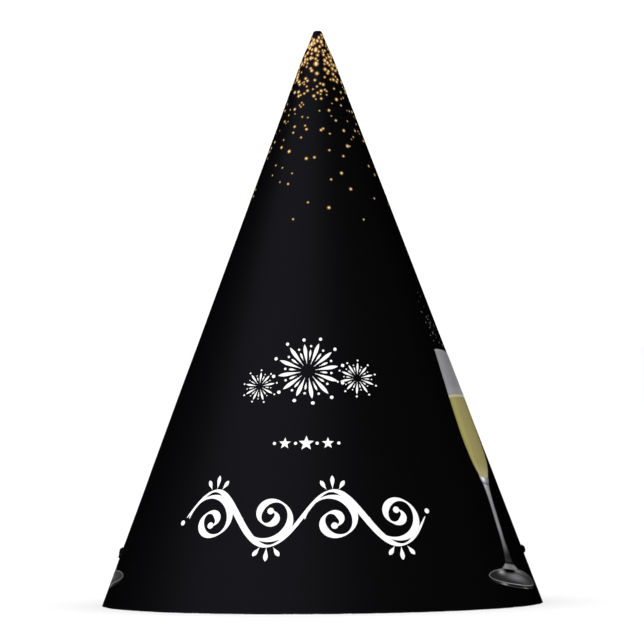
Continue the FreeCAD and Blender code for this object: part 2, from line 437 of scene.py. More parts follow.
def build_fibre_group():
    """Long pressed fibres and fine tooth of a paper surface."""
    group, given, made = new_group(
        "Paper Fibre",
        [("Vector", "vector", None), ("Fibre Scale", "float", 900.0), ("Tooth Scale", "float", 5200.0)],
        [("Height", "float"), ("Flecks", "float")])
    stretch = group.nodes.new("ShaderNodeMapping")
    stretch.inputs["Scale"].default_value = (1.0, 1.0, 0.28)
    group.links.new(given.outputs["Vector"], stretch.inputs["Vector"])
    fibres = noise_node(group, stretch.outputs["Vector"], given.outputs["Fibre Scale"], 5.0, 0.62)
    tooth = noise_node(group, given.outputs["Vector"], given.outputs["Tooth Scale"], 2.0, 0.5)
    height = math_node(group, "ADD", math_node(group, "MULTIPLY", fibres, 0.7),
                       math_node(group, "MULTIPLY", tooth, 0.3))
    cells = group.nodes.new("ShaderNodeTexVoronoi")
    cells.inputs["Scale"].default_value = 420.0
    group.links.new(stretch.outputs["Vector"], cells.inputs["Vector"])
    flecks = remap(group, cells.outputs["Distance"], 0.04, 0.10, 1.0, 0.0)
    group.links.new(height, made.inputs["Height"])
    group.links.new(flecks, made.inputs["Flecks"])
    return group


def build_press_group():
    """Slight unevenness of a printed solid: cloudy tone, fine grain and a changing gloss."""
    group, given, made = new_group(
        "Press Tone",
        [("Vector", "vector", None), ("Colour", "colour", (0.5, 0.5, 0.5, 1.0)),
         ("Cloud", "float", 0.12), ("Grain", "float", 0.08),
         ("Gloss", "float", 0.45), ("Gloss Drift", "float", 0.06)],
        [("Colour", "colour"), ("Roughness", "float")])
    clouds = noise_node(group, given.outputs["Vector"], 34.0, 2.0, 0.5)
    grain = noise_node(group, given.outputs["Vector"], 2600.0, 2.0, 0.6)
    cloud_tone = swing(group, clouds, given.outputs["Cloud"])
    grain_tone = swing(group, grain, given.outputs["Grain"])
    tone = math_node(group, "ADD", math_node(group, "ADD", cloud_tone, grain_tone), 1.0)
    colour = mix_colour(group, 1.0, given.outputs["Colour"], grey_colour(group, tone), "MULTIPLY")
    drift = swing(group, clouds, given.outputs["Gloss Drift"])
    unevenness = math_node(group, "ADD", drift, swing(group, grain, 0.05))
    rough = math_node(group, "ADD", unevenness, given.outputs["Gloss"], True)
    group.links.new(colour, made.inputs["Colour"])
    group.links.new(rough, made.inputs["Roughness"])
    return group


def build_wear_group():
    """Chafed card along the edges: a broken line where the ink has worn through to the paper."""
    group, given, made = new_group(
        "Edge Wear",
        [("Vector", "vector", None), ("Nearness", "float", 0.0), ("Amount", "float", 0.5)],
        [("Mask", "float")])
    broad = noise_node(group, given.outputs["Vector"], 160.0, 3.0, 0.6)
    fine = noise_node(group, given.outputs["Vector"], 1500.0, 3.0, 0.65)
    broken = math_node(group, "ADD", math_node(group, "MULTIPLY", broad, 0.6),
                       math_node(group, "MULTIPLY", fine, 0.4))
    reach = math_node(group, "MULTIPLY", given.outputs["Nearness"], given.outputs["Amount"])
    mask = remap(group, math_node(group, "ADD", reach, broken), 0.98, 1.14, 0.0, 1.0)
    group.links.new(mask, made.inputs["Mask"])
    return group


def build_weave_group():
    """Fine braided cover of the elastic, wound round the cord, with painted shade: darker in its grooves
    and lighter on its raised strands.
    """
    group, given, made = new_group(
        "Braid",
        [("Vector", "vector", None), ("Scale", "float", 1800.0)],
        [("Height", "float"), ("Shade", "float")])
    wave = group.nodes.new("ShaderNodeTexWave")
    wave.wave_type = "BANDS"
    wave.bands_direction = "DIAGONAL"
    wave.inputs["Distortion"].default_value = 1.2
    wave.inputs["Detail"].default_value = 2.0
    group.links.new(given.outputs["Vector"], wave.inputs["Vector"])
    group.links.new(given.outputs["Scale"], wave.inputs["Scale"])
    fuzz = noise_node(group, given.outputs["Vector"], 6000.0, 2.0, 0.6)
    height = math_node(group, "ADD", wave.outputs["Fac"], math_node(group, "MULTIPLY", fuzz, 0.4))
    group.links.new(height, made.inputs["Height"])
    # painted shade: the grooves between the strands darkened and the raised strands lightened
    group.links.new(remap(group, height, 0.2, 1.2, 0.55, 1.25), made.inputs["Shade"])
    return group


GROUP_MAKERS = {
    "Paper Fibre": build_fibre_group,
    "Press Tone": build_press_group,
    "Edge Wear": build_wear_group,
    "Braid": build_weave_group,
}


def place_group(tree, name, **values):
    """Puts a shared effect into a material. Keywords are its sockets, with _ for a space."""
    if name not in bpy.data.node_groups:
        GROUP_MAKERS[name]()
    node = tree.nodes.new("ShaderNodeGroup")
    node.node_tree = bpy.data.node_groups[name]
    for label, value in values.items():
        give(tree, node.inputs[label.replace("_", " ")], value)
    return node


def new_material(name):
    """A material with a Principled shader, its tree and the coordinates of the hat's own frame."""
    material = bpy.data.materials.new(name)
    material.use_nodes = True
    tree = material.node_tree
    shader = next(node for node in tree.nodes if node.type == "BSDF_PRINCIPLED")
    place = tree.nodes.new("ShaderNodeTexCoord").outputs["Object"]
    return material, tree, shader, place


def add_bump(tree, shader, height, distance, strength=1.0):
    bump = tree.nodes.new("ShaderNodeBump")
    bump.inputs["Distance"].default_value = distance
    bump.inputs["Strength"].default_value = strength
    tree.links.new(height, bump.inputs["Height"])
    tree.links.new(bump.outputs["Normal"], shader.inputs["Normal"])


def attribute(tree, name, output="Fac"):
    node = tree.nodes.new("ShaderNodeAttribute")
    node.attribute_name = name
    return node.outputs[output]


INK_GLOSS = 0.46
INK_SPECULAR = 0.5


def ink_shader(tree, shader, place, colour, gloss=INK_GLOSS, cloud=0.10, grain=0.06):
    """The satin coat that all the printed surfaces share."""
    press = place_group(tree, "Press Tone", Vector=place, Colour=colour, Gloss=gloss, Cloud=cloud,
                        Grain=grain)
    fibre = place_group(tree, "Paper Fibre", Vector=place)
    tree.links.new(press.outputs["Roughness"], shader.inputs["Roughness"])
    shader.inputs["Specular IOR Level"].default_value = INK_SPECULAR
    add_bump(tree, shader, fibre.outputs["Height"], 0.010 * MM, 0.5)
    return press.outputs["Colour"]


def printed_card_material(ink):
    """The black print, worn through to the paper along the card's edges."""
    material, tree, shader, place = new_material("printed_card_outside")
    black = ink_shader(tree, shader, place, tuple(ink.black))
    wear = place_group(tree, "Edge Wear", Vector=place, Nearness=attribute(tree, "edge"), Amount=0.62)
    worn = mix_colour(tree, wear.outputs["Mask"], black, tuple(ink.paper))
    tree.links.new(worn, shader.inputs["Base Color"])
    return material


def paper_material(ink, name, shade):
    """Uncoated paper, for the inside of the hat and its cut edges."""
    material, tree, shader, place = new_material(name)
    tint = tuple(channel * shade for channel in ink.paper)
    press = place_group(tree, "Press Tone", Vector=place, Colour=tint, Gloss=0.82, Cloud=0.10, Grain=0.16)
    fibre = place_group(tree, "Paper Fibre", Vector=place, Fibre_Scale=700.0)
    flecked = mix_colour(tree, math_node(tree, "MULTIPLY", fibre.outputs["Flecks"], 0.25),
                         press.outputs["Colour"], tuple(channel * 0.62 for channel in tint))
    tree.links.new(flecked, shader.inputs["Base Color"])
    tree.links.new(press.outputs["Roughness"], shader.inputs["Roughness"])
    shader.inputs["Specular IOR Level"].default_value = 0.3
    add_bump(tree, shader, fibre.outputs["Height"], 0.03 * MM, 0.8)
    return material


def ink_film_material(name, gloss=INK_GLOSS, grain=0.10):
    """An ink whose colour is mixed point by point on its own film."""
    material, tree, shader, place = new_material(name)
    colour = ink_shader(tree, shader, place, attribute(tree, "ink", "Color"), gloss, 0.06, grain)
    tree.links.new(colour, shader.inputs["Base Color"])
    return material


def white_ink_material(ink):
    """Bare white card in the ornament, a little greyer at the very edge of each stroke."""
    material, tree, shader, place = new_material("ornament_white")
    edge = remap(tree, attribute(tree, "across"), 0.82, 1.0, 0.0, 0.35)
    tint = mix_colour(tree, edge, tuple(ink.white), tuple(channel * 0.6 for channel in ink.white))
    colour = ink_shader(tree, shader, place, tint, 0.5, 0.03, 0.05)
    tree.links.new(colour, shader.inputs["Base Color"])
    return material


def elastic_material(ink):
    """Matte braided cover of the cord, with the braid's painted shade (darker grooves, lighter strands)
    multiplied into its colour.
    """
    material, tree, shader, place = new_material("elastic_cover")
    braid = place_group(tree, "Braid", Vector=place)
    # painted shade of the braid's grooves and strands, multiplied into the elastic's colour
    shade = grey_colour(tree, braid.outputs["Shade"])
    covering = mix_colour(tree, 1.0, tuple(ink.elastic), shade, "MULTIPLY")
    tree.links.new(covering, shader.inputs["Base Color"])
    shader.inputs["Roughness"].default_value = 0.78
    shader.inputs["Specular IOR Level"].default_value = 0.10
    add_bump(tree, shader, braid.outputs["Height"], 0.03 * MM, 0.6)
    return material


def strip_material():
    """Milky adhesive film."""
    material, tree, shader, place = new_material("adhesive_strip")
    press = place_group(tree, "Press Tone", Vector=place, Colour=(0.80, 0.78, 0.70), Gloss=0.38,
                        Cloud=0.2, Grain=0.1)
    tree.links.new(press.outputs["Colour"], shader.inputs["Base Color"])
    tree.links.new(press.outputs["Roughness"], shader.inputs["Roughness"])
    fibre = place_group(tree, "Paper Fibre", Vector=place, Fibre_Scale=300.0)
    add_bump(tree, shader, fibre.outputs["Height"], 0.02 * MM, 0.5)
    return material


def floor_material(stage):
    """Pale matte floor."""
    material, tree, shader, place = new_material("studio_floor")
    press = place_group(tree, "Press Tone", Vector=place, Colour=tuple(stage.floor_colour), Gloss=0.9,
                        Cloud=0.01, Grain=0.0)
    tree.links.new(press.outputs["Colour"], shader.inputs["Base Color"])
    shader.inputs["Roughness"].default_value = 0.9
    shader.inputs["Specular IOR Level"].default_value = 0.1
    return material


# ---------------------------------------------------------------- stage

class PARTYHAT_OT_stage(bpy.types.Operator):
    """Adds the camera, the pale floor and the soft lights"""

    bl_idname = "party_hat.stage"
    bl_label = "Studio"

    def execute(self, context):
        stage = context.scene.party_hat_stage
        self.add_camera(context, stage)
        self.add_floor(stage)
        self.add_room(context, stage)
        self.add_lights(context, stage)
        view = context.scene.view_settings
        view.view_transform = "Standard"
        view.look = "None"
        return {"FINISHED"}

    def add_camera(self, context, stage):
        data = bpy.data.cameras.new("camera")
        data.sensor_width = 36.0
        data.lens = data.sensor_width * stage.camera_distance / stage.frame_width
        data.clip_end = 50.0
        camera = bpy.data.objects.new("camera", data)
        camera.location = (stage.camera_side, -stage.camera_distance, stage.camera_height)
        camera.rotation_euler = (math.radians(90), stage.camera_roll, 0)
        context.scene.collection.objects.link(camera)
        context.scene.camera = camera

    def add_floor(self, stage):
        """A wide round floor, ruled finer under the hat."""
        reaches = (0.3, 1.0, 3.0, 8.0, 20.0)
        sides = 64

        def fill(bm):
            rings = []
            for reach in reaches:
                rings.append([
                    bm.verts.new((reach * math.cos(turn), reach * math.sin(turn), 0))
                    for turn in circle(sides)
                ])
            centre = bm.verts.new((0, 0, 0))
            for i in range(sides):
                j = (i + 1) % sides
                bm.faces.new((centre, rings[0][i], rings[0][j]))
                for low, high in zip(rings, rings[1:]):
                    bm.faces.new((low[i], high[i], high[j], low[j]))

        ground = new_object("studio_floor", fill, floor_material(stage))
        ground.visible_glossy = False

    def add_room(self, context, stage):
        """White light from all round that lights the hat but isn't mirrored in its dark ink."""
        world = bpy.data.worlds.new("studio")
        world.use_nodes = True
        background = world.node_tree.nodes["Background"]
        background.inputs["Color"].default_value = (1.0, 1.0, 1.0, 1.0)
        background.inputs["Strength"].default_value = stage.room_light
        world.cycles_visibility.glossy = False
        context.scene.world = world

    def add_lights(self, context, stage):
        aim = Vector((0, 0, 0.09))
        # name, place, size, power, colour, and whether it shows as a sheen or only lifts the flat tones
        softboxes = [
            ("key_sheen", (-1.20, -1.16, 1.54), (3.6, 2.0), stage.key_power, (0.80, 0.75, 1.0), True),
            ("fill_left", (-2.6, -2.6, 1.6), (2.5, 2.5), stage.fill_power, (1.0, 1.0, 1.0), False),
        ]
        for name, place, size, power, tint, is_sheen in softboxes:
            data = bpy.data.lights.new(name, "AREA")
            data.shape = "RECTANGLE"
            data.size, data.size_y = size
            data.energy = power
            data.color = tint
            light = bpy.data.objects.new(name, data)
            light.location = place
            light.rotation_euler = (aim - Vector(place)).to_track_quat("-Z", "Y").to_euler()
            light.visible_glossy = is_sheen
            light.visible_diffuse = not is_sheen
            data.use_shadow = is_sheen
            context.scene.collection.objects.link(light)


# ---------------------------------------------------------------- elastic

# The elastic's route in millimetres: knot on the right, through its hole, down to the floor inside
# the hat, loosely round the back and up again to the knot on the left.
ELASTIC_ROUTE = [
    (68.1, 0.0, 18.5),
    (64.3, 0.0, 17.1),
    (61.6, 0.4, 14.0),
    (60.3, 1.3, 9.4),
    (59.6, 3.2, 4.6),
    (58.8, 7.7, 1.2),
    (57.0, 14.0, 0.42),
    (52.5, 25.5, 0.42),
    (43.0, 38.0, 0.42),
    (28.0, 47.5, 0.42),
    (9.0, 51.0, 0.42),
    (-11.0, 48.5, 0.42),
    (-29.0, 40.0, 0.42),
    (-40.0, 25.0, 0.42),
    (-39.0, 7.0, 0.42),
    (-29.0, -9.0, 0.42),
    (-24.0, -26.0, 0.42),
    (-32.0, -41.0, 0.42),
    (-46.0, -43.0, 0.42),
    (-55.0, -33.0, 0.42),
    (-58.5, -20.0, 0.42),
    (-59.3, -10.5, 0.42),
    (-59.4, -5.0, 1.6),
    (-60.0, -1.9, 5.4),
    (-60.8, -0.6, 10.0),
    (-62.0, 0.0, 14.0),
    (-64.3, 0.0, 17.1),
    (-68.1, 0.0, 18.5),
]


def route_curve(name, points, diameter, material):
    """A smooth round cord whose control points are the given ones."""
    data = bpy.data.curves.new(name, "CURVE")
    data.dimensions = "3D"
    data.bevel_depth = diameter / 2
    data.bevel_resolution = 4
    data.resolution_u = 8
    data.use_fill_caps = True
    spline = data.splines.new("NURBS")
    spline.points.add(len(points) - 1)
    for control, point in zip(spline.points, points):
        control.co = (*point, 1.0)
    spline.order_u = 3
    spline.use_endpoint_u = True
    data.materials.append(material)
    piece = bpy.data.objects.new(name, data)
    bpy.context.scene.collection.objects.link(piece)
    return piece


class PARTYHAT_OT_elastic(bpy.types.Operator):
    """Lays the elastic inside the hat and sets its knots outside the holes"""

    bl_idname = "party_hat.elastic"
    bl_label = "Elastic and knots"

    # A knot in strand diameters: a flat coil over the hole, sunk a little into the card, and then the
    # pass over it that ends in the tail, as distances along the side, around it and out from the card.
    COIL_STEPS = 16
    COIL_STEPS_PER_TURN = 8
    COIL_INNER = 0.1
    COIL_OUTER = 1.95
    COIL_HEIGHT = 0.52
    SINK = 0.20
    PASS = [
        (1.4, -1.1, 0.62),
        (0.6, -1.5, 0.90),
        (0.7, -0.5, 1.20),
        (0.9, 0.6, 1.22),
        (0.0, 1.3, 1.10),
        (-0.9, 0.6, 1.10),
        (-1.2, -0.4, 0.95),
        (-1.9, -0.2, 0.65),
    ]
    TAIL_START = -2.3

    def execute(self, context):
        sizes = context.scene.party_hat_elastic
        material = elastic_material(context.scene.party_hat_ink)
        points = [Vector(point) * MM for point in ELASTIC_ROUTE]
        cord = route_curve("chin_cord", points, sizes.diameter, material)
        finish_piece(cord, "elastic_cord", "chin_elastic")
        # how far each knot sits above its hole's middle and its tail's extra length, in strand diameters
        for node, seat, inward, slide, tail in (
            ("elastic_knot_right", points[0], points[1], -0.55, -0.4),
            ("elastic_knot_left", points[-1], points[-2], -0.1, 1.6),
        ):
            route = self.knot_points(seat, inward, sizes.knot_strand, slide, tail)
            knot = route_curve(f"{node}_tied", route, sizes.knot_strand, material)
            finish_piece(knot, "elastic_cord", node)
        return {"FINISHED"}

    def knot_points(self, seat, inward, strand, slide, tail):
        """The look of a knot pulled tight on the card: a flat coil that covers the hole, a pass over it
        and a short tail that lies down the side."""
        out = (seat - inward).normalized()
        around = out.cross(Vector((0, 0, 1))).normalized()
        up = around.cross(out)
        turns = []
        for index in range(self.COIL_STEPS + 1):
            turn = math.tau * index / self.COIL_STEPS_PER_TURN
            share = index / self.COIL_STEPS
            reach = self.COIL_INNER + (self.COIL_OUTER - self.COIL_INNER) * share ** 0.65
            turns.append((reach * math.cos(turn), -reach * math.sin(turn), self.COIL_HEIGHT))
        turns += self.PASS
        turns.append((self.TAIL_START - tail, 0.1, self.COIL_HEIGHT))
        return [
            seat + (up * (along + slide) + around * across + out * (height - self.SINK)) * strand
            for along, across, height in turns
        ]


# ---------------------------------------------------------------- card

class PARTYHAT_OT_card(bpy.types.Operator):
    """Rolls the card: printed outside, plain inside, flap, step, punched holes and pinched tip"""

    bl_idname = "party_hat.card"
    bl_label = "Rolled card"

    MAIN_COLUMNS = 236
    STEP_COLUMNS = 5
    FLAP_COLUMNS = 7
    SIDE_ROWS = 80
    SHOULDER_ROWS = 8
    CAP_ROWS = 5
    BEVEL = 0.06 * MM
    RIM_BAND = 1.0 * MM
    THINNEST_RADIUS = 0.12 * MM
    INSIDE_SLOT = 1
    CUT_EDGE_SLOT = 2

    def execute(self, context):
        card = context.scene.party_hat_card
        ink = context.scene.party_hat_ink
        side = ConeSide(card)
        piece = new_object(
            "rolled_card", lambda bm: self.roll(bm, side),
            printed_card_material(ink), paper_material(ink, "card_inside", 1.0),
            paper_material(ink, "card_cut_edge", 0.8))
        self.punch(piece, card)
        piece.data.set_sharp_from_angle(angle=math.radians(40))
        finish_piece(piece, "printed_card", "cone_card")
        return {"FINISHED"}

    def roll(self, bm, side):
        edge = bm.verts.layers.float.new("edge")
        levels = self.levels(side)
        printed, plain = [], []
        for azimuth in self.azimuths(side):
            outer_column, inner_column = [], []
            for height, shave in levels:
                over = side.point(azimuth, height)
                radius = math.hypot(over.x, over.y)
                outer = bm.verts.new(side.point(azimuth, height, -shave))
                outer[edge] = self.nearness_to_edge(side, azimuth, radius, height)
                outer_column.append(outer)
                share = max(self.THINNEST_RADIUS, radius - side.wall + shave) / radius
                inner_column.append(bm.verts.new((over.x * share, over.y * share, height)))
            printed.append(outer_column)
            plain.append(inner_column)
        for left, right, inner_left, inner_right in zip(printed, printed[1:], plain, plain[1:]):
            for i in range(len(levels) - 1):
                bm.faces.new((left[i], right[i], right[i + 1], left[i + 1]))
                inside = (inner_left[i], inner_left[i + 1], inner_right[i + 1], inner_right[i])
                bm.faces.new(inside).material_index = self.INSIDE_SLOT
            for i in (0, len(levels) - 1):
                cut = (left[i], right[i], inner_right[i], inner_left[i])
                bm.faces.new(cut).material_index = self.CUT_EDGE_SLOT
        for outer, inner in ((printed[0], plain[0]), (printed[-1], plain[-1])):
            for i in range(len(levels) - 1):
                cut = (outer[i], outer[i + 1], inner[i + 1], inner[i])
                bm.faces.new(cut).material_index = self.CUT_EDGE_SLOT

    def azimuths(self, side):
        """Round from the outer end of the card to its step, down the step and along the flap."""
        first = -side.seam
        step_start = side.seam - side.card.step_turn
        spans = [
            (first, step_start, self.MAIN_COLUMNS),
            (step_start, side.seam, self.STEP_COLUMNS),
            (side.seam, side.seam + side.card.flap_turn, self.FLAP_COLUMNS),
        ]
        return [first] + [turn for span in spans for turn in self.spaced(*span)]

    def levels(self, side):
        """Heights up the side, each with how far its corners are shaved off: only the rim's lip is."""
        heights = [self.BEVEL, 0.35 * MM, self.RIM_BAND]
        heights += self.spaced(self.RIM_BAND, side.shoulder, self.SIDE_ROWS)
        heights += self.spaced(side.shoulder, side.cap, self.SHOULDER_ROWS)
        for index in range(1, self.CAP_ROWS + 1):
            climb = math.sin(math.radians(90) * index / self.CAP_ROWS)
            heights.append(side.cap + (HAT_HEIGHT - side.cap) * climb)
        return [(0.0, self.BEVEL)] + [(height, 0.0) for height in heights]

    def spaced(self, start, end, count):
        """Even places after start, up to and with end."""
        return [start + (end - start) * index / count for index in range(1, count + 1)]

    def nearness_to_edge(self, side, azimuth, radius, height):
        """1 at the rim and the outer end of the card, fading within a millimetre, and less at the tip."""
        near_rim = math.exp(-height / (0.30 * MM))
        near_tip = 0.8 * math.exp(-(HAT_HEIGHT - height) / (0.5 * MM))
        if azimuth > side.seam - side.card.step_turn:
            return max(near_rim, near_tip)
        from_end = (azimuth + side.seam) * radius
        return max(near_rim, near_tip, math.exp(-from_end / (0.30 * MM)))

    def punch(self, piece, card):
        """Cuts both cord holes with one round punch through the hat."""
        def fill(bm):
            bmesh.ops.create_cone(bm, cap_ends=True, segments=40, radius1=card.hole_radius,
                                  radius2=card.hole_radius, depth=4 * RIM_RADIUS)

        punch = new_object("punch", fill, piece.data.materials[self.CUT_EDGE_SLOT])
        punch.rotation_euler = (0, math.radians(90), 0)
        punch.location = (0, 0, card.hole_height)
        cut = piece.modifiers.new("cord_holes", "BOOLEAN")
        cut.operation = "DIFFERENCE"
        cut.solver = "EXACT"
        cut.object = punch
        cut.material_mode = "TRANSFER"
        before = len(piece.data.polygons)
        bpy.context.view_layer.update()
        evaluated = piece.evaluated_get(bpy.context.evaluated_depsgraph_get())
        mesh = bpy.data.meshes.new_from_object(evaluated)
        piece.modifiers.clear()
        piece.data = mesh
        bpy.data.objects.remove(punch)
        if len(mesh.polygons) == before:
            raise RuntimeError("the cord holes were not cut")


class PARTYHAT_OT_strip(bpy.types.Operator):
    """Gives the adhesive strip in the overlap its milky film"""

    bl_idname = "party_hat.strip"
    bl_label = "Adhesive strip"

    def execute(self, context):
        node = frame["nodes"]["seam_tape"]
        node.data.materials.clear()
        node.data.materials.append(strip_material())
        return {"FINISHED"}


# ---------------------------------------------------------------- confetti

class PARTYHAT_OT_confetti(bpy.types.Operator):
    """Prints the gold confetti that falls from the tip"""

    bl_idname = "party_hat.confetti"
    bl_label = "Gold confetti"

    # slant down the side in millimetres, and dots in each square centimetre there
    DENSITY = [
        (6.4, 74), (10, 86), (14, 90), (18, 54), (22, 33), (26, 19), (31, 10), (37, 8.0), (44, 5.2),
        (52, 2.8), (62, 2.0), (70, 1.2), (76, 0.0),
    ]
    # places tried for each dot where they stand densest
    TRIES = 1.15
    SMALLEST = 0.15
    SIZE_RANGE = 0.32
    CLEARANCE = 0.46
    CORNERS = 14

    def execute(self, context):
        self.ink = context.scene.party_hat_ink
        side = ConeSide(context.scene.party_hat_card)
        dots = self.scatter(side, random.Random(self.ink.seed))
        for name, material, gloss, draw in (
            ("confetti_glow", "confetti_glow_ink", INK_GLOSS, self.glow),
            ("confetti_dots", "confetti_gold_ink", 0.42, self.core),
        ):
            def fill(bm, draw=draw):
                film = Film(bm)
                for number, (azimuth, slant, radius, warmth) in enumerate(dots):
                    draw(film, Artwork(side, azimuth, slant), number, radius, warmth)
            finish_piece(new_object(name, fill, ink_film_material(material, gloss)), "printed_card")
        return {"FINISHED"}

    def glow(self, film, art, number, radius, warmth):
        """The glow round a dot, which ends in the black further down the side."""
        glow = tuple(self.ink.gold_glow)
        near_tip = 1 - ease(art.slant, 14 * MM, 30 * MM)
        middle = mix(glow, tuple(self.ink.gold_ring), 0.2 + 0.5 * warmth)
        rim = mix(tuple(self.ink.black), glow, 0.8 * near_tip)
        lift = self.ink.film_lift + (number % 9) * 0.12 * self.ink.film_gap
        film.disc(0, 0, radius * 1.35 + 0.26 * MM, art.place, lift, middle, rim, 5, self.CORNERS)

    def core(self, film, art, number, radius, warmth):
        """The bright dot, which is drawn out down the side near the tip."""
        ring = tuple(self.ink.gold_ring)
        near_tip = 1 - ease(art.slant, 12 * MM, 24 * MM)
        middle = mix(ring, tuple(self.ink.gold_core), 0.7 + 0.3 * warmth)
        rim = mix(tuple(self.ink.gold_glow), ring, 0.5)
        lift = self.ink.film_lift + (2 + (number % 7) * 0.12) * self.ink.film_gap
        film.disc(0, 0, radius, art.place, lift, middle, rim, 4, self.CORNERS, 1 + 0.9 * warmth * near_tip)

    def density(self, slant):
        for (low, some), (high, others) in zip(self.DENSITY, self.DENSITY[1:]):
            if slant <= high * MM:
                return some + (others - some) * max(0.0, (slant / MM - low) / (high - low))
        return 0.0

    def scatter(self, side, rng):
        """Seeded dots, thinner down the side, that keep a little apart."""
        lowest, highest = self.DENSITY[0][0] * MM, self.DENSITY[-1][0] * MM
        peak = max(dots for _, dots in self.DENSITY)
        whole_turn = math.tau * side.sine
        square_centimetres = 0.5 * whole_turn * (highest ** 2 - lowest ** 2) * 1e4
        dots, places = [], []
        for _ in range(int(self.TRIES * square_centimetres * peak)):
            slant = math.sqrt(rng.uniform(lowest ** 2, highest ** 2))
            azimuth = rng.uniform(-math.pi + 0.02, math.pi - 0.07)
            wanted = self.density(slant)
            size = rng.random()
            warmth = rng.random()
            if rng.random() > wanted / peak:
                continue
            big = 1.35 - 0.45 * ease(slant, 22 * MM, 34 * MM) + 0.25 * ease(slant, 38 * MM, 50 * MM)
            radius = (self.SMALLEST + self.SIZE_RANGE * size ** 1.3) * big * MM
            place = side.on_slant(azimuth, slant)
            spacing = self.CLEARANCE * MM + 0.85 * radius
            if any((place - other).length < spacing for other in places):
                continue
            places.append(place)
            dots.append((azimuth, slant, radius, warmth))
        return dots


# ---------------------------------------------------------------- ornament

THINNEST_STROKE = 0.14


def nib_widths(path, thick, thin, nib, taper):
    """Stroke width along a path, from a broad nib held at an angle and lifted at both ends."""
    widths = []
    for index, (_, _, turn) in enumerate(path):
        share = index / (len(path) - 1)
        lifted = math.sin(math.pi / 2 * min(1.0, share / taper, (1 - share) / taper))
        broad = thin + (thick - thin) * abs(math.sin(turn - math.radians(nib))) ** 1.6
        widths.append(max(THINNEST_STROKE, broad * (0.25 + 0.75 * lifted)))
    return widths


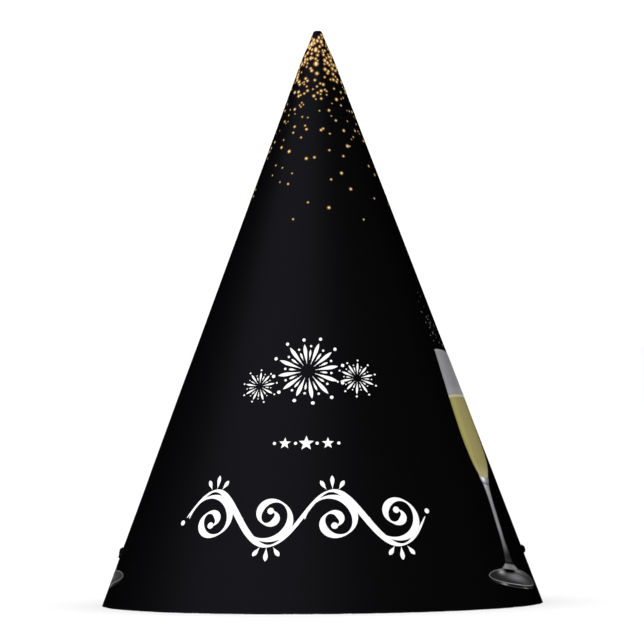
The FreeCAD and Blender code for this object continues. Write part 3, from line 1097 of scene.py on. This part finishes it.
class PARTYHAT_OT_ornament(bpy.types.Operator):
    """Prints the white ornament on the front: fireworks, a row of stars and a pen scroll"""

    bl_idname = "party_hat.ornament"
    bl_label = "White ornament"

    def execute(self, context):
        ink = context.scene.party_hat_ink
        side = ConeSide(context.scene.party_hat_card)
        material = white_ink_material(ink)
        self.base_lift = ink.film_lift
        self.gap = ink.film_gap
        self.plain = tuple(ink.white)
        drawings = [
            ("ornament_fireworks", self.fireworks, Artwork(side, math.radians(-4.8), 129 * MM, bent=True)),
            ("ornament_stars", self.star_row, Artwork(side, math.radians(-5.2), 153.7 * MM, bent=True)),
            ("ornament_scroll", self.pen_scroll, Artwork(side, math.radians(-6.2), 180 * MM, bent=True)),
        ]
        for name, draw, art in drawings:
            def fill(bm, draw=draw, art=art):
                self.strokes = 0
                draw(Film(bm), art)
            finish_piece(new_object(name, fill, material), "printed_card")
        return {"FINISHED"}

    def next_lift(self):
        """Each stroke lies a little higher than the one before, so that crossings stay clean."""
        self.strokes += 1
        return self.base_lift + 0.35 * self.gap * self.strokes

    def stroke_row(self, x, y, turn, half, shoulder):
        """A row of points square across a stroke."""
        return [
            ((x - half * k * math.sin(turn)) * MM, (y + half * k * math.cos(turn)) * MM, self.plain, abs(k))
            for k in (-1.0, -shoulder, 0.0, shoulder, 1.0)
        ]

    def ribbon(self, film, art, path, widths):
        """A stroke of changing width along a path of places and headings."""
        rows = [self.stroke_row(*place, width / 2, 0.8) for place, width in zip(path, widths)]
        film.grid(rows, art.place, self.next_lift())

    def dot(self, film, art, x, y, radius):
        film.disc(x * MM, y * MM, radius * MM, art.place, self.next_lift(), self.plain, self.plain, 3, 20)

    def spike(self, film, art, centre, turn, inner, outer, width):
        """A tapered ray with a swelling near its outer end."""
        count = 9
        rows = []
        for index in range(count):
            share = index / (count - 1)
            reach = inner + (outer - inner) * share
            half = max(0.06, width / 2 * math.sin(math.pi * share ** 1.7) ** 0.8)
            x = centre[0] + reach * math.cos(turn)
            y = centre[1] + reach * math.sin(turn)
            rows.append(self.stroke_row(x, y, turn, half, 0.7))
        film.grid(rows, art.place, self.next_lift())

    def star(self, film, art, x, size):
        """A five-pointed star on the row's line, in rings that grow out from its middle."""
        points, waist = 5, 0.42
        outline = []
        for index in range(points * 2):
            reach = size if index % 2 == 0 else size * waist
            turn = math.radians(90) + math.pi * index / points
            outline.append((reach * math.cos(turn), reach * math.sin(turn)))
        rows = [
            [((x + u * share) * MM, v * share * MM, self.plain, share) for u, v in outline]
            for share in (0.02, 0.5, 0.86, 1.0)
        ]
        film.grid(rows, art.place, self.next_lift(), closed_rows=True)

    def fireworks(self, film, art):
        """One large burst with two smaller ones beside it, each of drops and sparks."""
        rng = random.Random(5)
        # middle, reach and number of long rays
        bursts = [
            ((-0.4, 0.8), 12.8, 12),
            ((-16.4, -4.6), 6.4, 9),
            ((15.9, -2.0), 7.0, 10),
        ]
        for centre, reach, count in bursts:
            for index in range(count):
                turn = math.tau * (index + 0.3) / count
                long = reach * rng.uniform(0.74, 0.84)
                self.spike(film, art, centre, turn, reach * 0.20, long, 0.10 * reach)
                self.spark(film, art, centre, turn, long + 0.13 * reach, 0.046 * reach)
                between = turn + math.pi / count
                short = reach * rng.uniform(0.50, 0.60)
                self.spike(film, art, centre, between, reach * 0.32, short, 0.055 * reach)
                self.spark(film, art, centre, between, short + 0.10 * reach, 0.032 * reach)

    def spark(self, film, art, centre, turn, reach, radius):
        """A dot off the end of a ray."""
        self.dot(film, art, centre[0] + reach * math.cos(turn), centre[1] + reach * math.sin(turn), radius)

    def star_row(self, film, art):
        """Stars and dots by turns, with the largest star in the middle."""
        spacing = 3.6
        for place in range(-3, 4):
            if place % 2 == 0:
                self.star(film, art, place * spacing, 2.7 if place == 0 else 2.1)
            else:
                self.dot(film, art, place * spacing, 0, 0.55)

    def pen_scroll(self, film, art):
        """A running vine: a waving stem, a spiral shoot in each hollow and leaves on each crest."""
        wave, height, waves = 43.0, 9.6, 2
        count = 180
        stem = []
        for index in range(count + 1):
            x = wave * waves * (index / count - 0.5)
            slope = height * math.tau / wave * math.cos(math.tau * x / wave)
            stem.append((x, height * math.sin(math.tau * x / wave), math.atan(slope)))
        self.ribbon(film, art, stem, nib_widths(stem, 2.3, 0.65, 20, 0.08))
        for hollow in range(2 * waves):
            middle = wave * (hollow / 2 - waves / 2 + 0.25)
            over = 1 if hollow % 2 == 0 else -1
            shoot = self.spiral((middle + 0.4, -0.9 * over), over)
            self.ribbon(film, art, shoot, nib_widths(shoot, 2.5, 0.6, 30 * over, 0.1))
            self.dot(film, art, shoot[-1][0], shoot[-1][1], 1.15)
            for lean, long in ((-34, 4.6), (0, 5.6), (34, 4.6)):
                turn = math.radians(90 * over + lean)
                root = (middle + 0.05 * lean * -over, over * (height - 0.3))
                self.spike(film, art, root, turn, 0.9, long, 1.5)
        for end in (-1, 1):
            self.dot(film, art, end * (wave * waves / 2 + 1.2), end * 1.9, 0.9)

    def spiral(self, centre, over):
        """A shoot that leaves the stem at the left and winds in on a centre."""
        turns, outer, inner, count = 1.75, 10.0, 1.7, 120
        path = []
        for index in range(count + 1):
            share = index / count
            reach = inner + (outer - inner) * (1 - share) ** 1.55
            angle = math.radians(176) - math.tau * turns * share
            path.append((centre[0] + reach * math.cos(angle), centre[1] + over * reach * math.sin(angle)))
        headings = [math.atan2(b[1] - a[1], b[0] - a[0]) for a, b in zip(path, path[1:])]
        headings.append(headings[-1])
        return [(x, y, turn) for (x, y), turn in zip(path, headings)]


# ---------------------------------------------------------------- glasses

class PARTYHAT_OT_glasses(bpy.types.Operator):
    """Prints a tall glass of sparkling wine at each side, leaning outwards"""

    bl_idname = "party_hat.glasses"
    bl_label = "Printed glasses"

    # height above the middle of the foot, and half width there
    STEM = [
        (3.2, 6.8), (3.8, 5.4), (4.6, 4.1), (5.4, 3.2), (6.5, 2.7), (9.0, 2.05), (11.7, 1.6), (14.5, 1.4),
        (20, 1.5), (27, 1.5), (32, 2.0), (35.0, 2.9),
    ]
    COLLAR = [(33.6, 2.2), (34.6, 3.2), (35.8, 3.7), (37.2, 4.1)]
    BOWL = [
        (36.6, 3.6), (37.4, 4.4), (38.6, 5.3), (40.6, 6.7), (43.0, 8.0), (47.0, 9.2), (52.0, 9.95),
        (58.0, 10.4), (66.0, 10.75), (74.0, 10.9), (82.6, 11.0),
    ]
    FOOT_EDGE = 1.1
    FOOT_LIP = 0.7
    FOOT_SIDES = 96
    WINE_TOP = 66.2
    RIM = 82.6
    BUBBLES = 90
    DROPLETS = 30

    # soft lights and shades in the foot, its thick edge and the stem: x, y, reach across, reach up,
    # brightness
    FOOT_LIGHTS = [
        (-9.3, 1.75, 1.5, 0.85, 1.30),
        (-3.1, 2.50, 2.4, 0.62, -1.10),
        (-0.6, 0.5, 5.6, 1.35, 0.60),
        (6.0, 0.0, 5.0, 1.2, 0.16),
        (3.0, 2.9, 2.8, 0.55, 0.62),
        (8.0, 2.4, 4.0, 0.35, 0.22),
    ]
    EDGE_LIGHTS = [
        (-9.5, -2.6, 1.7, 0.6, 0.95),
        (6.3, -3.2, 1.9, 0.6, 0.80),
    ]
    STEM_LIGHTS = [
        (-1.6, 7.6, 1.6, 1.2, -0.10),
        (-2.2, 5.40, 4.5, 0.34, -0.26),
        (-5.6, 4.0, 1.9, 1.1, 0.55),
        (1.4, 3.9, 2.2, 0.9, 0.40),
        (-3.0, 34.0, 0.8, 2.2, 0.9),
    ]

    def execute(self, context):
        ink = context.scene.party_hat_ink
        side = ConeSide(context.scene.party_hat_card)
        self.ink = ink
        material = ink_film_material("glass_inks", 0.44)
        bubbles = ink_film_material("bubble_ink", 0.44)
        # azimuth, slant, lean, how far the stem stands off the bowl's middle line, then the foot's
        # middle, half width, half height and turn
        glasses = {
            "right": (65.5, 203.3, 7.2, -1.7, (0.6, 0.6), 17.9, 3.05, 1.0),
            "left": (-86.9, 203.6, 10.5, 1.5, (-0.3, 0.4), 19.6, 2.7, 3.2),
        }
        for word, (azimuth, slant, lean, self.stem_shift, *self.foot_shape) in glasses.items():
            art = Artwork(side, math.radians(azimuth), slant * MM, math.radians(lean), mirror=azimuth < 0)
            self.lit_from = art.flip
            glass = new_object(f"printed_glass_{word}", lambda bm: self.glass(Film(bm), art), material)
            finish_piece(glass, "printed_card")
            fizz = new_object(f"printed_bubbles_{word}", lambda bm: self.bubbles(Film(bm), art), bubbles)
            finish_piece(fizz, "printed_card")
        return {"FINISHED"}

    def half_width(self, outline, y):
        """Half width of an outline at a height, straight between its points."""
        if y <= outline[0][0]:
            return outline[0][1]
        for (low, narrow), (high, wide) in zip(outline, outline[1:]):
            if y <= high:
                return narrow + (wide - narrow) * (y - low) / (high - low)
        return outline[-1][1]

    def strip(self, film, art, outline, low, high, tone, lift, rows, columns):
        """A band of the glass. low and high give its edges' heights from the place across, -1 to 1."""
        grid = []
        for index in range(rows + 1):
            share = index / rows
            row = []
            for column in range(columns + 1):
                k = -1 + 2 * column / columns
                y = low(k) + (high(k) - low(k)) * share
                half = self.half_width(outline, y)
                x = half * k + self.stem_shift * (1 - ease(y, 33, 46))
                row.append((x * MM, y * MM, tone(x, y, k, share), abs(k)))
            grid.append(row)
        film.grid(grid, art.place, lift)

    def grey(self, level):
        """The glass's own grey at a brightness, never quite black."""
        return tuple(channel * max(0.01, level) for channel in self.ink.crystal)

    def lights(self, spots, x, y):
        """Brightness that a table of soft lights adds. They stay on the same side on both glasses."""
        x *= self.lit_from
        return sum(gain * math.exp(-((x - u) / a) ** 2 - ((y - v) / b) ** 2) for u, v, a, b, gain in spots)

    def wine_level(self, k):
        """The wine's top edge, which stays level while its glass leans."""
        return self.WINE_TOP + 0.16 * 10.7 * k

    def rim_level(self, k):
        """The glass's top edge."""
        return self.RIM + 0.65 * k + 0.35 * math.sqrt(max(0.0, 1 - k * k)) - 0.3

    def glass(self, film, art):
        """The whole glass, from its foot up, each part a step above the one before."""
        lift = self.ink.film_lift
        step = self.ink.film_gap
        stem_low, stem_high = self.STEM[0][0], self.STEM[-1][0]
        collar_low, collar_high = self.COLLAR[0][0], self.COLLAR[-1][0]
        bowl_low = self.BOWL[0][0]
        wine, rim = self.wine_level, self.rim_level
        self.foot(film, art, lift)
        # outline, low edge, high edge, tone, steps up, rows and columns
        parts = [
            (self.STEM, lambda k: stem_low - 0.2 * math.sqrt(max(0.0, 1 - k * k)), lambda k: stem_high,
             self.stem_tone, 1, 100, 12),
            (self.COLLAR, lambda k: collar_low, lambda k: collar_high, self.collar_tone, 2, 8, 14),
            (self.BOWL, lambda k: bowl_low - 0.5 * (1 - k * k), wine, self.wine_tone, 3, 44, 22),
            (self.BOWL, wine, rim, self.empty_tone, 3, 24, 22),
            (self.BOWL, lambda k: wine(k) - 0.45, lambda k: wine(k) + 0.65, self.level_tone, 4, 4, 22),
        ]
        for outline, low, high, tone, steps, rows, columns in parts:
            self.strip(film, art, outline, low, high, tone, lift + steps * step, rows, columns)

    def stem_tone(self, x, y, k, share):
        """Bright down the middle, dark at both edges, dim near the foot and light again where it flares."""
        climb = 0.16 + 0.42 * ease(y, 8, 13) + 0.36 * ease(y, 12, 19) + 0.20 * ease(y, 24, 33)
        climb += 0.36 * (1 - ease(y, 4.7, 5.3))
        body = climb * (0.78 + 0.32 * bump_at(k, -0.2, 0.5) - 0.34 * ease(abs(k), 0.7, 1.0))
        return self.grey(body + self.lights(self.STEM_LIGHTS, x, y))

    def collar_tone(self, x, y, k, share):
        """Where the stem swells into the bowl, with a glare at its left."""
        glare = 2.6 * bump_at(k, -0.38, 0.42) * bump_at(share, 0.55, 0.33)
        shade = 0.5 * bump_at(share, 0.0, 0.22) + 0.3 * ease(abs(k), 0.8, 1.0)
        return self.grey(0.85 + glare - shade)

    def wine_tone(self, x, y, k, share):
        """Yellow wine: pale at the bottom, warm near the middle, lit down its left, dark at its edges."""
        wine = tuple(self.ink.wine)
        pale = mix(wine, (0.44, 0.40, 0.22), 0.8 * (1 - ease(share, 0.0, 0.2)))
        warm = mix(pale, (0.36, 0.27, 0.13), 0.5 * bump_at(k, -0.25, 0.2) * (1 - 0.5 * share))
        lit = mix(warm, (0.42, 0.39, 0.10), 0.55 * bump_at(k, -0.74, 0.16))
        side = mix(lit, (0.25, 0.22, 0.05), 0.35 * bump_at(k, 0.75, 0.2))
        return mix(side, (0.12, 0.10, 0.025), 0.6 * ease(abs(k), 0.94, 1.0))

    def empty_tone(self, x, y, k, share):
        """The grey glass above the wine, with soft upright lights and a bright rim."""
        level = 0.94 + 0.14 * bump_at(k, -0.82, 0.12) + 0.10 * bump_at(k, 0.4, 0.3)
        level -= 0.10 * bump_at(k, -0.1, 0.3)
        level += 0.32 * ease(share, 0.95, 0.985) + 0.12 * bump_at(share, 0.12, 0.06)
        level -= 0.22 * ease(abs(k), 0.95, 1.0)
        return self.grey(level)

    def level_tone(self, x, y, k, share):
        """The pale line along the top of the wine."""
        return mix(tuple(self.ink.wine), (0.50, 0.48, 0.36), 0.9 - 0.9 * abs(share - 0.5))

    def on_foot(self, inward, turn, reach=1.0, drop=0.0):
        """A place on the foot: so far in from its rim, then a share of the way from its middle."""
        middle, half_width, half_height, tilt = self.foot_shape
        tilt = math.radians(tilt)
        u = (half_width - inward) * reach * math.cos(turn)
        v = (half_height - inward) * reach * math.sin(turn)
        x = middle[0] + u * math.cos(tilt) - v * math.sin(tilt)
        y = middle[1] + u * math.sin(tilt) + v * math.cos(tilt)
        return x, y - drop

    def foot(self, film, art, lift):
        """The round foot, seen a little from above, with its bright lip and the thick edge below it."""
        edge = []
        for share in (0.0, 0.2, 0.4, 0.55, 0.65, 0.75, 0.85, 0.95, 1.0):
            row = []
            for index in range(self.FOOT_SIDES // 2 + 1):
                turn = math.pi + math.tau * index / self.FOOT_SIDES
                drop = self.FOOT_EDGE * share * abs(math.sin(turn)) ** 0.5
                x, y = self.on_foot(0.1, turn, 1.0, drop)
                level = 0.02 + 0.24 * bump_at(share, 0.80, 0.12) + self.lights(self.EDGE_LIGHTS, x, y)
                level *= 1 - ease(share, 0.9, 1.0)
                row.append((x * MM, y * MM, self.grey(level), share))
            edge.append(row)
        film.grid(edge, art.place, lift)
        rings = [(self.FOOT_LIP, reach) for reach in (0.02, 0.15, 0.3, 0.45, 0.6, 0.72, 0.82, 0.9, 0.96)]
        rings += [(inward, 1.0) for inward in (0.7, 0.58, 0.48, 0.38, 0.28, 0.18, 0.08, 0.0)]
        top = []
        for inward, reach in rings:
            row = []
            for turn in circle(self.FOOT_SIDES):
                x, y = self.on_foot(inward, turn, reach)
                level = self.foot_level(x, y, turn, inward if reach == 1.0 else self.FOOT_LIP)
                row.append((x * MM, y * MM, self.grey(level), reach))
            top.append(row)
        film.grid(top, art.place, lift + 0.5 * self.ink.film_gap, closed_rows=True)

    def foot_level(self, x, y, turn, inward):
        """Brightness of the foot's top: a soft body inside a thin bright lip, brighter in front."""
        front = 0.5 - 0.5 * math.sin(turn)
        body = 0.07 + 0.09 * ease(x * self.lit_from, -6, 8) + self.lights(self.FOOT_LIGHTS, x, y)
        lip = (0.66 + 0.60 * front) * bump_at(inward, 0.22, 0.15)
        return body * ease(inward, 0.1, 0.6) + lip

    def bubbles(self, film, art):
        """Streams of bubbles in the wine and a fizz of droplets over the rim."""
        rng = random.Random(11)
        lift = self.ink.film_lift + 6 * self.ink.film_gap
        wine = tuple(self.ink.wine)
        bright = mix(wine, (0.62, 0.58, 0.38), 0.6)
        droplet, droplet_edge = (0.22, 0.22, 0.225), (0.02, 0.02, 0.022)
        for _ in range(self.BUBBLES):
            y = rng.uniform(self.BOWL[2][0] + 1, self.WINE_TOP - 2.5)
            half = self.half_width(self.BOWL, y) * 0.84
            x = rng.choice((-0.6, -0.25, 0.1, 0.4, 0.7)) * half + rng.gauss(0, 0.7)
            if abs(x) < half:
                size = rng.uniform(0.14, 0.30)
                film.disc(x * MM, y * MM, size * MM, art.place, lift, bright, wine, 2, 8)
        for _ in range(self.DROPLETS):
            rise = abs(rng.gauss(0, 9.0)) + 1.2
            x = rng.gauss(-7.0, 4.0)
            size = rng.uniform(0.30, 0.60) * (1 - rise / 45)
            if abs(x + 4) < 9 and rise < 24:
                film.disc(x * MM, (self.RIM + rise) * MM, size * MM, art.place, lift, droplet, droplet_edge,
                          3, 10)


# ---------------------------------------------------------------- panel

OPERATORS = [
    PARTYHAT_OT_stage,
    PARTYHAT_OT_elastic,
    PARTYHAT_OT_card,
    PARTYHAT_OT_strip,
    PARTYHAT_OT_confetti,
    PARTYHAT_OT_ornament,
    PARTYHAT_OT_glasses,
]


class PARTYHAT_PT_panel(bpy.types.Panel):
    """Sizes, colours and steps of the party hat"""

    bl_idname = "PARTYHAT_PT_panel"
    bl_label = "Party Hat"
    bl_space_type = "VIEW_3D"
    bl_region_type = "UI"
    bl_category = "Party Hat"

    def draw(self, context):
        for name, group in SETTINGS.items():
            box = self.layout.box()
            box.label(text=group.__doc__)
            settings = getattr(context.scene, name)
            for prop in group.__annotations__:
                box.prop(settings, prop)
        for operator in OPERATORS:
            self.layout.operator(operator.bl_idname)


def register():
    for group in SETTINGS.values():
        bpy.utils.register_class(group)
    for operator in OPERATORS:
        bpy.utils.register_class(operator)
    bpy.utils.register_class(PARTYHAT_PT_panel)
    for name, group in SETTINGS.items():
        setattr(bpy.types.Scene, name, PointerProperty(type=group))


def unregister():
    for name in SETTINGS:
        delattr(bpy.types.Scene, name)
    bpy.utils.unregister_class(PARTYHAT_PT_panel)
    for operator in reversed(OPERATORS):
        bpy.utils.unregister_class(operator)
    for group in reversed(list(SETTINGS.values())):
        bpy.utils.unregister_class(group)


def main():
    register()
    for operator in OPERATORS:
        area, step = operator.bl_idname.split(".")
        getattr(getattr(bpy.ops, area), step)()
    bpy.context.view_layer.update()


if __name__ == "__main__":
    main()
